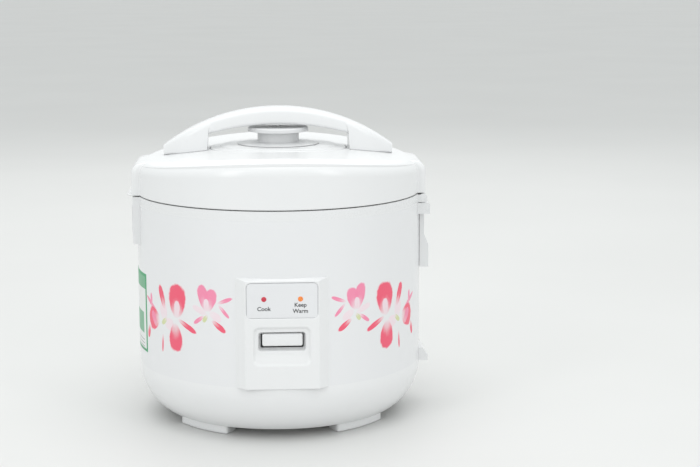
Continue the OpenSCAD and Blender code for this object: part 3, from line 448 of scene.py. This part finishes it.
# loft between a top curve and a bottom curve: the bottom runs along the lid, up the end of the hand opening
# and along its roof, and each pair of points is joined by a ring shaped as a rectangle with round corners
def makeHandle():
    s = handleSet
    roof = lambda x: s["roof"] - s["roofRadius"] + np.sqrt(s["roofRadius"] ** 2 - x ** 2)
    o, c = s["opening"], s["corner"]
    foot = lambda x: lidTop(x) + 0.02
    q = np.radians(np.linspace(0, 90, 9))
    legs = np.linspace(s["reach"] - 0.6, o + 2, 26)
    xb = np.concatenate([legs, o + 1.2 - 1.2 * np.sin(q[:4] * 1.5), np.full(6, float(o)),
        o - c + c * np.cos(q)[1:], np.linspace(o - c, 0, 26)[1:]])
    zWall = np.linspace(foot(o), roof(o - c) - c * 0.55, 8)
    zb = np.concatenate([foot(legs), foot(o + 0 * q[:4]), zWall[1:7],
        roof(o - c) - c * 0.55 * (1 - np.sin(q)[1:]), roof(np.linspace(o - c, 0, 26)[1:])])
    n = len(xb)
    share = [np.linspace(0, 0.36, 26), 0.36 + np.linspace(0, 0.12, n - 51)[1:], np.linspace(0.48, 1, 27)[1:]]
    share = np.concatenate(share)
    share = np.interp(np.linspace(0, 1, n), np.linspace(0, 1, len(share)), share)
    xt = (s["reach"] - 0.4) * (1 - share) ** 0.96
    zt = s["top"] - s["radius"] + np.sqrt(s["radius"] ** 2 - xt ** 2)
    low, high = np.stack([xb, zb], -1), np.stack([xt, zt], -1)
    middle, half = (low + high) / 2, (high - low) / 2
    tall = np.linalg.norm(half, axis=1)
    tip = np.clip((s["reach"] - xt) / 36, 0, 1)
    wide = s["half"] * (0.30 + 0.70 * np.sin(tip * np.pi / 2))
    edge = np.minimum(s["edge"], tall * 0.55)
    corner = np.radians(np.linspace(0, 90, 7))
    ring = np.concatenate([corner, corner + np.pi / 2, corner + np.pi, corner + 3 * np.pi / 2])
    su, sv = np.repeat([1, -1, -1, 1], 7), np.repeat([1, 1, -1, -1], 7)
    under = 0.2 + 0.6 * ease(zb - lidTop(xb), 0, 4) + 0.8 * ease(xb, s["reach"] - 16, s["reach"] - 2)
    lower = np.where(sv < 0, under[:, None], 1)
    e = edge[:, None] * lower
    u = su * (wide[:, None] - e) + e * np.cos(ring)
    v = (sv * (tall[:, None] - e) + e * np.sin(ring)) / tall[:, None]
    points = np.stack([middle[:, :1] + half[:, :1] * v, u, middle[:, 1:] + half[:, 1:] * v], -1)
    other = points[:-1][::-1] * np.array([-1, 1, 1])
    points = np.concatenate([points, other])
    nose = points[:1].mean(1, keepdims=True) + np.array([0.4, 0, 0])
    tail = points[-1:].mean(1, keepdims=True) - np.array([0.4, 0, 0])
    points = np.concatenate([nose + 0 * points[:1], points, tail + 0 * points[:1]])
    piece = putPiece("top_handle", points, gridFaces(*points.shape[:2], False, True), "lid", sharp=45)
    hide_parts("carry_handle")
    return piece


handlePiece = makeHandle()
print("handle made")


# vent plate on the lid

plateSet = {"inner": 17.65, "outer": 57.6, "steps": ((34.9, 0.5), (49, 0.45)), "proud": 0.35}


# round plate that follows the lid's arch, with two low steps and a soft rim: height over the arch depends on
# radius only
def makeVentPlate():
    s = plateSet
    a = np.linspace(0, 2 * np.pi, 192, endpoint=False)[:, None]
    even, rimward = np.linspace(s["inner"], s["outer"], 40), np.linspace(s["outer"] - 1, s["outer"], 7)
    atSteps = [np.linspace(c - 0.8, c + 0.8, 9) for c, _ in s["steps"]]
    r = np.unique(np.concatenate([even, *atSteps, rimward]))[None]
    rise = s["proud"] + sum(h * (1 - ease(r, c - 0.5, c + 0.5)) for c, h in s["steps"])
    rim = np.clip((s["outer"] - r) / 0.8, 0, 1)
    rise = rise * np.sqrt(1 - (1 - rim) ** 2) - 0.35 * (1 - rim)
    level = ease(r, s["inner"] + 18, s["outer"] - 4)
    top = lidTop(r * np.cos(a) * level) + rise
    top = np.minimum(top, 229.28)
    under = lidTop(r * np.cos(a)) - 2.4 + 0 * top
    outer = np.stack([r * np.cos(a), r * np.sin(a), top], -1)
    inner = np.stack([r * np.cos(a), r * np.sin(a), under], -1)[:, ::-1]
    points = np.concatenate([outer, inner], 1)
    piece = putPiece("vent_plate", points, gridFaces(*points.shape[:2], True, True), "lid", sharp=45)
    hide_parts("vent_insert")
    return piece


ventPlate = makeVentPlate()
print("vent plate made")


# control panel

panelSet = {"face": -121.5, "half": 29.2, "bevel": 8, "low": 46.8, "high": 136.2, "topBevel": 133.9,
    "window": (-28.6, 28.6, 103.8, 132.9), "windowRound": 4.5, "windowDeep": 1.6,
    "recess": (-23.4, 22.8, 65.2, 97.3), "recessRound": 5, "recessDeep": 2.0,
    "slot": (-19.4, 18.9, 76.9, 92.8), "slotRound": 3, "step": 0.36}


# front and back as heights over X and Z: the bevels are planes, and each pocket lowers the face by its
# distance inside a rectangle with round corners; the slot is an opening right through
def makePanel():
    s = panelSet
    side = s["half"] + s["bevel"]
    x = np.linspace(-side, side, int(2 * side / s["step"]))
    z = np.linspace(s["low"], s["high"], int((s["high"] - s["low"]) / s["step"]))
    x, z = np.meshgrid(x, z, indexing="ij")
    sideBack = 0.35 - math.sqrt(120 ** 2 - side ** 2)
    slope = (np.abs(x) - s["half"]) / s["bevel"] * (sideBack - s["face"])
    shell = np.sqrt(120 ** 2 - x ** 2)
    upper = (z - s["topBevel"]) / (s["high"] - s["topBevel"]) * (0.5 - s["face"] - shell)
    y = s["face"] + softMost(softMost(slope, upper, 0.35), 0 * x, 0.25)
    gap = roundedGap(x, z, *s["window"], s["windowRound"])
    y = y + s["windowDeep"] * ease(-gap, -0.1, 0.7)
    gap = roundedGap(x, z, *s["recess"], s["recessRound"])
    shelf = 0.35 + 0.65 * ease(z, 66, 76)
    y = y + s["recessDeep"] * ease(-gap, -0.3, 2.6) * shelf
    gap = roundedGap(x, z, *s["slot"], s["slotRound"])
    y = y + 5.5 * ease(-gap, -0.2, 2.0)
    keep = gap > -1.9
    keep = keep[:-1, :-1] | keep[1:, :-1] | keep[:-1, 1:] | keep[1:, 1:]
    front = np.stack([x, y, z], -1)
    back = np.stack([x, y + 1.3, z], -1)
    piece = thickSheet("front_panel", front, back, keep, "base", sharp=60)
    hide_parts("control_panel")
    return piece


# loops of a rectangle with round top corners, each drawn in by a little, from the back edge over a soft rim
# to the middle
def makeWindow():
    x0, x1, z0, z1 = panelSet["window"]
    gap, r = 0.55, 4
    x0, x1, z0, z1 = x0 + gap, x1 - gap, z0 + gap, z1 - gap
    outline = softOutline([(x0, z0, 0.8), (x1, z0, 0.8), (x1, z1, r), (x0, z1, r)], 9)
    middle = np.array([[0, (z0 + z1) / 2]])
    back = panelSet["face"] + 1.62
    front = back - 1.3
    inset = np.array([0, 0, 0.08, 0.25, 0.5, 6])
    y = np.array([back, front + 0.45, front + 0.15, front + 0.03, front, front])
    size = 1 - inset[:, None, None] / np.abs(outline - middle).max(0)
    ring = middle + (outline - middle)[None] * size
    points = np.stack([ring[..., 0], y[:, None] + 0 * ring[..., 0], ring[..., 1]], -1)
    ends = [np.tile([[[0, level, middle[0, 1]]]], (1, len(outline), 1)) for level in (back, front)]
    points = np.concatenate([ends[0], points, ends[1]])
    piece = putPiece("window_plate", points, gridFaces(*points.shape[:2], False, True), "base", sharp=50)
    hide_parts("indicator_window")
    return piece


panelPiece = makePanel()
windowPiece = makeWindow()
paddle = softBox("lever_paddle", (-16, -119.3, 81.2), (16, -107.2, 91.2), 1.5, "switch_lever")
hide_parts("cook_paddle")
print("panel made")


# words beside the lamps

wordSet = {"size": 4.6, "lines": (("wordCook", "Cook", -14.4, 110.4), ("wordKeep", "Keep", 14.4, 113.4),
    ("wordWarm", "Warm", 14.4, 108.5))}


# flat letters, made a mesh, stood up and laid a hair in front of the window
def makeWords():
    pieces = []
    for name, words, x, z in wordSet["lines"]:
        curve = bpy.data.curves.new(name, "FONT")
        curve.body = words
        curve.size = wordSet["size"] / 1000
        curve.align_x = "CENTER"
        curve.extrude = 0.00003
        curve.offset = 0.00008
        temp = bpy.data.objects.new(name + "Text", curve)
        scene.collection.objects.link(temp)
        bpy.context.view_layer.update()
        mesh = bpy.data.meshes.new_from_object(temp.evaluated_get(bpy.context.evaluated_depsgraph_get()))
        bpy.data.objects.remove(temp)
        co = np.zeros(len(mesh.vertices) * 3)
        mesh.vertices.foreach_get("co", co)
        co = co.reshape(-1, 3)
        front = (panelSet["face"] + 0.31) / 1000
        place = np.stack([co[:, 0] + x / 1000, front - co[:, 2], co[:, 1] + z / 1000], -1)
        mesh.vertices.foreach_set("co", place.ravel())
        mesh.update()
        piece = bpy.data.objects.new(name, mesh)
        scene.collection.objects.link(piece)
        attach(piece, "base")
        pieces.append(piece)
    return pieces


words = makeWords()
print("words made")
# feet and sensor spring

shoeSet = {"middles": (227, 313, 47, 133), "spread": 15.6, "inner": 93.2, "outer": 98.4, "low": 0.12,
    "high": 10.6, "edge": 2.2}


# foot's skirt round the CAD foot: over angle, a ring in radius and height with its outer corners rounded, drawn
# in at both ends by a quarter circle; it clears the floor, so the CAD foot carries the load
def makeShoe(name, middle):
    s = shoeSet
    e = s["edge"]
    outline = softOutline([(s["inner"], s["low"], 0.3), (s["outer"], s["low"], e), (s["outer"], s["high"], 0.3),
        (s["inner"], s["high"], 0.3)], 7)
    q = np.radians(np.linspace(0, 90, 6))
    end = np.degrees(e / s["outer"])
    flat = np.linspace(-s["spread"] + end, s["spread"] - end, 40)[1:-1]
    a = np.concatenate([-s["spread"] + end * (1 - np.cos(q)), flat, s["spread"] - end * (1 - np.sin(q))])
    draw = np.concatenate([e * (1 - np.sin(q)), np.zeros(38), e * (1 - np.cos(q))])[:, None]
    r = np.clip(outline[:, 0][None], s["inner"], s["outer"] - draw)
    z = np.maximum(outline[:, 1][None], s["low"] + draw * 0.8)
    a = np.radians(a + middle)[:, None]
    points = np.stack([r * np.cos(a), r * np.sin(a), z], -1)
    first, last = points[:1].mean(1, keepdims=True), points[-1:].mean(1, keepdims=True)
    points = np.concatenate([first + 0 * points[:1], points, last + 0 * points[:1]])
    piece = putPiece(name, points, gridFaces(*points.shape[:2], False, True), "base", sharp=50)
    return piece


shoes = [makeShoe("foot_" + "abcd"[i], middle) for i, middle in enumerate(shoeSet["middles"])]


# copy of the sensor's spring, with its doubles merged, standing in for the CAD one
def makeSpring():
    spring = bpy.data.objects.new("sensor_coil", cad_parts["sensor_spring"].data.copy())
    scene.collection.objects.link(spring)
    work = bmesh.new()
    work.from_mesh(spring.data)
    bmesh.ops.remove_doubles(work, verts=work.verts, dist=1e-6)
    work.to_mesh(spring.data)
    work.free()
    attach(spring, "base")
    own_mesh(spring)
    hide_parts("sensor_spring")
    return spring


springPiece = makeSpring()
print("feet and spring made")


# finishes

# enamel printed with two flowers on each side of the panel. Arc = radius x angle from the front, without its
# sign, so the right side mirrors the left. A petal is 1 where u^2 + v^2 < 1, with u along it and v across it,
# narrower at its root. Each petal is a tone, its root, its tip and its half width
petalSet = {
    "red": (0.84, 0.085, 0.16), "pink": (0.86, 0.25, 0.40), "pale": (0.83, 0.70, 0.745),
    "green": (0.62, 0.66, 0.36),
    "petals": (
        ("pale", (109, 93), (112, 108), 6), ("pale", (109, 93), (98, 90), 6),
        ("pink", (117, 96), (140, 109), 2.2), ("pink", (130, 100), (131, 113), 2.2),
        ("red", (134, 86), (138, 74), 3), ("red", (94, 98), (92.5, 125.5), 12),
        ("red", (109, 103), (116, 122), 4), ("red", (117, 93), (135, 92), 11.5),
        ("pink", (122, 86), (129, 98), 4), ("red", (96, 93), (95, 70), 9.5),
        ("red", (92, 97), (73, 88), 2.8), ("red", (112, 82), (113, 67), 1.3),
        ("pale", (94, 98), (93, 112), 4), ("green", (106, 96), (113, 90), 2.4),
        ("pink", (63, 107), (68, 128), 6), ("pink", (62, 107), (57, 125), 6.5),
        ("pale", (63, 107), (63, 117), 3), ("pale", (60, 107), (50, 100), 4),
        ("pink", (53, 114), (40, 119), 1.9), ("pink", (52, 113), (43, 103), 1.7),
        ("pale", (62, 104), (76, 110), 3), ("pink", (65, 103), (75, 96), 2),
        ("red", (58, 100), (46, 91), 2.8), ("green", (62, 104), (66, 98), 2.2),
    ),
}


def printedShell(name, colour):
    f = Finish(name)
    x, y, z = f.parts()
    arc = x.maths("ARCTAN2", y * -1).maths("ABSOLUTE") * 120
    cloud = f.noise(9, 2)
    fine = f.noise(1100, 3)
    ragged = (f.noise(230, 3) - 0.5) * 0.5
    base = f.mix(cloud, toned(colour, 0.99), toned(colour, 1.01))
    for tone, root, tip, wide in petalSet["petals"]:
        half = math.dist(root, tip) / 2
        ax, az = (tip[0] - root[0]) / 2 / half, (tip[1] - root[1]) / 2 / half
        mx, mz = (tip[0] + root[0]) / 2, (tip[1] + root[1]) / 2
        u = arc * (ax / half) + z * (az / half) - (mx * ax + mz * az) / half
        v = z * (ax / wide) - arc * (az / wide) - (mz * ax - mx * az) / wide
        v = v * (1.25 - u * 0.3)
        inside = 1 - (u * u + v * v + ragged).step(0.8, 1.15)
        depth = (u + v * v * 0.7 + ragged).step(-1.5, 0.3)
        shade = f.mix(depth, petalSet["pale"], petalSet[tone])
        base = f.mix(inside * (0.25 + depth * 0.72), base, shade)
    rough = 0.2 + (fine - 0.5) * 0.05 + (cloud - 0.5) * 0.05
    return f.shade((fine * 0.5 + cloud, 0.02, 0.0004), Base_Color=base, Roughness=rough, IOR=1.5)


# paper label: green frame, white field, a green block and rows of fine lines, by height and by arc round the
# body; each mask steps from 0 to 1 across an edge
def printedLabel(name):
    f = Finish(name)
    x, y, z = f.parts()
    arc = (x * -1).maths("ARCTAN2", y * -1) * 120
    fine = f.noise(900, 4)
    aside = (arc - 167.5).maths("ABSOLUTE")
    edge = aside.step(23.6, 24.0) + (z - 93.2).maths("ABSOLUTE").step(30.6, 31.0)
    band = z.step(113.2, 113.4)
    block = (1 - (z - 84).maths("ABSOLUTE").step(8.8, 9.0)) * (1 - aside.step(18, 18.3))
    rows = (z * 2.1).maths("SINE").step(0.55, 0.7) * (1 - z.step(72, 72.3)) * (1 - aside.step(19, 19.3))
    green = f.mix(fine, (0.03, 0.30, 0.12), (0.05, 0.38, 0.16))
    base = f.mix(fine, (0.74, 0.75, 0.74), (0.80, 0.81, 0.80))
    base = f.mix((edge + band * 0.85).maths("MINIMUM", 1), base, green)
    base = f.mix(block * 0.8, base, green)
    base = f.mix(rows * 0.6, base, (0.1, 0.14, 0.11))
    return f.shade((fine, 0.06, 0.0002), Base_Color=base, Roughness=0.42 + (fine - 0.5) * 0.1)


# pot: spun metal outside, dark speckled coating inside; inside = radius below the wall's middle and height
# above the floor's middle
def potFinish(name):
    f = Finish(name)
    x, y, z = f.parts()
    radius = (x * x + y * y).maths("SQRT")
    rings = (radius * 4 + z * 4).maths("SINE") * 0.5 + 0.5
    cloud = f.noise(26, 5)
    speck = 1 - f.cells(900).step(0.05, 0.3)
    inner = (1 - radius.step(94.1, 94.4)) * z.step(77.2, 77.5)
    metal = f.mix(rings * 0.4 + cloud * 0.6, (0.60, 0.60, 0.60), (0.74, 0.74, 0.74))
    coat = f.mix(cloud, (0.055, 0.056, 0.06), (0.085, 0.086, 0.09))
    coat = f.mix(speck * 0.5, coat, (0.42, 0.42, 0.43))
    gloss = 0.32 + (cloud - 0.5) * 0.12 + (rings - 0.5) * 0.06 + inner * 0.05
    base = f.mix(inner, metal, coat)
    return f.shade((rings + speck, 0.08, 0.0002), Base_Color=base, Roughness=gloss, Metallic=1 - inner)


# lens: the colour deepens towards its rim, with the facets inside seen as cells
def lensFinish(name, colour, glow):
    f = Finish(name)
    facet = f.cells(900)
    fine = f.noise(700, 3)
    base = f.mix(facet, colour, toned(colour, 0.55))
    rough = 0.14 + (fine - 0.5) * 0.06
    return f.shade((facet, 0.2, 0.0003), Base_Color=base, Roughness=rough, Emission_Color=base,
        Emission_Strength=glow, Coat_Weight=0.6)


# circuit board: solder mask with tracks (edges of square cells) and a weave
def boardFinish(name):
    f = Finish(name)
    track = 1 - f.cells(260, feature="DISTANCE_TO_EDGE").step(0.03, 0.07)
    weave = f.noise(1200, 3)
    pads = 1 - f.cells(320).step(0.12, 0.2)
    base = f.mix(weave, (0.012, 0.12, 0.05), (0.02, 0.17, 0.07))
    base = f.mix(track * 0.5, base, (0.05, 0.28, 0.12))
    base = f.mix(pads, base, (0.62, 0.62, 0.6))
    rough = 0.38 + (weave - 0.5) * 0.1 - pads * 0.1
    return f.shade((track + weave * 0.3 + pads, 0.3, 0.0002), Base_Color=base, Roughness=rough, Metallic=pads)


white = (0.79, 0.795, 0.80)
finishes = {
    "shell_enamel": printedShell("shellEnamel", (0.77, 0.775, 0.785)),
    "white_plastic": mouldedPlastic("glossWhite", white, 0.22),
    "frame_plastic": mouldedPlastic("frameWhite", (0.77, 0.775, 0.78), 0.28),
    "base_plastic": mouldedPlastic("underWhite", (0.72, 0.72, 0.715), 0.45, grain=0.1, scale=700),
    "window_plastic": mouldedPlastic("windowGrey", (0.755, 0.76, 0.775), 0.3, drift=0.01),
    "red_lens": lensFinish("lensRed", (0.60, 0.03, 0.06), 0.25),
    "amber_lens": lensFinish("lensAmber", (0.85, 0.24, 0.04), 0.35),
    "vent_plastic": mouldedPlastic("ventGrey", (0.70, 0.705, 0.71), 0.34),
    "dew_plastic": mouldedPlastic("dewWhite", (0.78, 0.785, 0.79), 0.24),
    "pot_coating": potFinish("potCoating"),
    "cast_aluminium": spunMetal("castAluminium", (0.62, 0.62, 0.61), 0.42, 1.4, 0.16),
    "sheet_aluminium": spunMetal("sheetAluminium", (0.74, 0.74, 0.74), 0.3),
    "case_steel": sheetMetal("caseSteel", (0.56, 0.57, 0.57), 0.36),
    "bright_steel": sheetMetal("brightSteel", (0.66, 0.66, 0.65), 0.24, scale=140, tarnish=0.07),
    "spring_steel": sheetMetal("springSteel", (0.42, 0.42, 0.43), 0.3, scale=200, tarnish=0.14),
    "element_steel": sheetMetal("elementSteel", (0.30, 0.28, 0.26), 0.48, scale=90, tarnish=0.3),
    "magnet_ferrite": mattPart("magnetFerrite", (0.05, 0.05, 0.055), 0.55, 800),
    "heater_tape": sheetMetal("heaterTape", (0.68, 0.66, 0.60), 0.34, (30, 30, 1), 45, 0.16, 0.9),
    "phenolic": mattPart("phenolic", (0.035, 0.034, 0.034), 0.45, 900),
    "ceramic_tan": mattPart("ceramicTan", (0.62, 0.54, 0.42), 0.6, 500),
    "fuse_sleeve": mattPart("fuseSleeve", (0.70, 0.66, 0.55), 0.75, 1200, 0.35),
    "lead_silicone": mattPart("leadSilicone", (0.42, 0.05, 0.05), 0.5, 700, 0.08),
    "board_green": boardFinish("boardGreen"),
    "lamp_resin": lensFinish("lampResin", (0.60, 0.22, 0.08), 0.1),
    "contact_brass": sheetMetal("contactBrass", (0.70, 0.50, 0.22), 0.27, scale=120, tarnish=0.12),
    "seal_silicone": mattPart("sealSilicone", (0.66, 0.66, 0.64), 0.5, 650, 0.08, 0.05),
    "label_paper": printedLabel("labelPaper"),
}
slotNodes = {
    "shell_enamel": ["body_shell"],
    "white_plastic": ["base_ring", "cook_paddle", "control_panel", "inlet_hood", "latch_button", "lid_cover",
        "vent_insert", "carry_handle"],
    "frame_plastic": ["upper_frame", "latch_frame", "hinge_cover"],
    "base_plastic": ["bottom_plate", "switch_post", "lid_tray"],
    "window_plastic": ["indicator_window"],
    "red_lens": ["cook_lens"],
    "amber_lens": ["warm_lens"],
    "vent_plastic": ["steam_vent_cap"],
    "dew_plastic": ["dew_collector"],
    "pot_coating": ["inner_pot"],
    "cast_aluminium": ["heater_plate"],
    "sheet_aluminium": ["sensor_cap", "inner_lid"],
    "case_steel": ["inner_case", "limiter_housing"],
    "bright_steel": ["base_screws", "cook_lever", "lever_bracket", "lever_pin", "latch_pin", "hinge_pin",
        "lid_catch", "handle_screws"],
    "spring_steel": ["sensor_spring", "latch_spring", "hinge_spring"],
    "element_steel": ["heating_element"],
    "magnet_ferrite": ["limiter_magnet"],
    "heater_tape": ["side_heater"],
    "phenolic": ["microswitch", "power_inlet"],
    "ceramic_tan": ["keep_warm_thermostat"],
    "fuse_sleeve": ["thermal_fuse"],
    "lead_silicone": ["lead_wires"],
    "board_green": ["lamp_board"],
    "lamp_resin": ["indicator_lamps"],
    "contact_brass": ["inlet_blades"],
    "seal_silicone": ["lid_seal", "inner_lid_grommet", "vent_tube"],
    "label_paper": ["side_label"],
}
for kind, names in slotNodes.items():
    for name in names:
        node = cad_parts[name]
        node.data.materials.clear()
        node.data.materials.append(finishes[kind])
for piece in [*lidPieces, handlePiece, ventPlate, panelPiece, paddle]:
    piece.data.materials.append(finishes["white_plastic"])
for piece in [*shoulders, *shoes]:
    piece.data.materials.append(finishes["frame_plastic"])
springPiece.data.materials.clear()
springPiece.data.materials.append(finishes["spring_steel"])
windowPiece.data.materials.append(finishes["window_plastic"])
ink = mattPart("wordInk", (0.025, 0.025, 0.027), 0.5)
for piece in words:
    piece.data.materials.append(ink)
print("finishes made:", len(finishes))

# floor, light

floorMesh = bpy.data.meshes.new("floor")
floorMesh.from_pydata([(-9, -6, 0), (9, -6, 0), (9, 30, 0), (-9, 30, 0)], [], [(0, 1, 2, 3)])
floor = bpy.data.objects.new("floor", floorMesh)
scene.collection.objects.link(floor)
f = Finish("floorPaint")
floorTone = f.mix(f.noise(2.5, 3), (0.66, 0.66, 0.65), (0.71, 0.71, 0.70))
floorMesh.materials.append(f.shade((f.noise(40, 4), 0.03, 0.001), Base_Color=floorTone, Roughness=0.6))

world = bpy.data.worlds.new("studio")
world.use_nodes = True
world.node_tree.nodes["Background"].inputs[0].default_value = (0.86, 0.885, 0.885, 1)
world.node_tree.nodes["Background"].inputs[1].default_value = 0.98
scene.world = world


# area light aimed at a point: turned about X by the slope of the way to it, then about Z by the way's bearing
def softLight(name, place, size, power, colour=(1, 1, 1), aim=(0, 0, 0.13)):
    data = bpy.data.lights.new(name, "AREA")
    data.shape = "RECTANGLE"
    data.size, data.size_y = size
    data.energy = power
    data.color = colour
    light = bpy.data.objects.new(name, data)
    scene.collection.objects.link(light)
    light.location = place
    way = np.array(aim) - np.array(place)
    slope, bearing = math.acos(-way[2] / np.linalg.norm(way)), math.atan2(way[1], way[0])
    light.rotation_euler = (slope, 0, bearing - math.pi / 2)


softLight("overhead", (0.1, -0.2, 1.9), (1.6, 1.6), 11.5)
softLight("leftBox", (-1.3, -1.5, 0.9), (0.5, 1.3), 6.5)
softLight("rightBox", (1.3, -1.5, 0.9), (0.5, 1.3), 5)
softLight("back", (0, 1.6, 1.2), (1.6, 0.8), 5)
print("light set")
